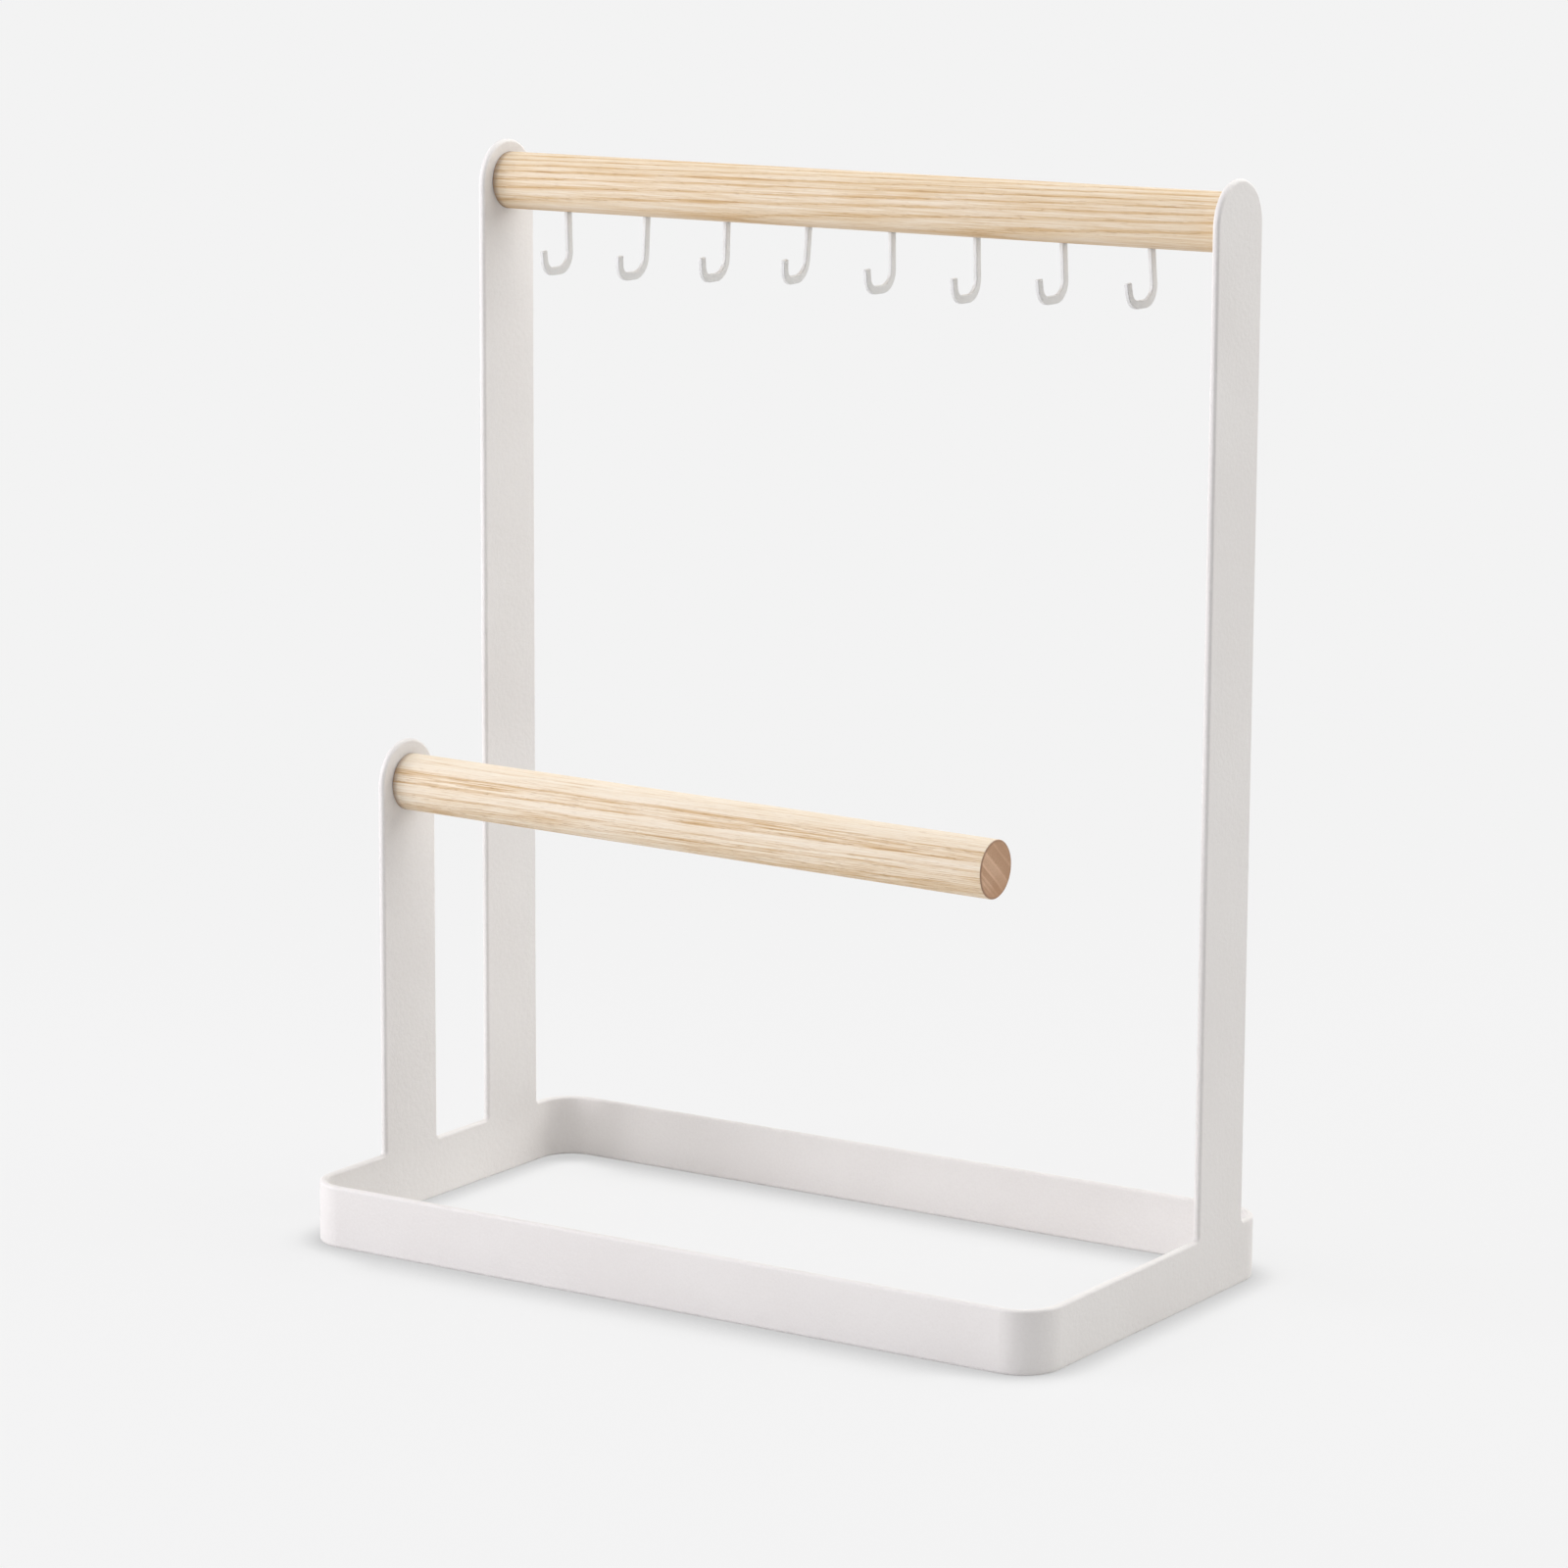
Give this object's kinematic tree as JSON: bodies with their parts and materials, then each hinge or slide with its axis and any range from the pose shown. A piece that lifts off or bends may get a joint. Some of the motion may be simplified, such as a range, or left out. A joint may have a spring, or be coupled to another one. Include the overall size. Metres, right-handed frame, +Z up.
{
  "type": "jewelry stand",
  "caption": "Open stand of white bent sheet steel: a wooden bar with small hooks between two tall uprights, and a lower wooden bar that juts out from a short upright.",
  "frame": {"origin": "middle of the footprint, on the table", "axes": "+X along the bars to the right, +Y to the back where the tall uprights stand, +Z up"},
  "size_m": [0.237, 0.124, 0.3005],
  "materials": {
    "frame_coating": "matt white powder coat with a very fine grain",
    "hook_coating": "matt white powder coat",
    "upper_bar_wood": "bare sanded pale wood, fine grain along the bar",
    "lower_bar_wood": "bare sanded pale wood, fine grain along the bar, darker sawn end",
    "plain_steel": "bare steel, hidden inside the bar ends",
    "insert_brass": "plain turned brass, hidden inside the bar end"
  },
  "bodies": {
    "root": {"left_frame_half": "frame_coating", "right_frame_half": "frame_coating", "upper_bar": "upper_bar_wood", "lower_bar": "lower_bar_wood", "upper_bar_pin_left": "plain_steel", "upper_bar_pin_right": "plain_steel", "lower_bar_stud": "plain_steel", "lower_bar_insert": "insert_brass", "hook_1": "hook_coating", "hook_2": "hook_coating", "hook_3": "hook_coating", "hook_4": "hook_coating", "hook_5": "hook_coating", "hook_6": "hook_coating", "hook_7": "hook_coating", "hook_8": "hook_coating"}
  },
  "joints": []
}
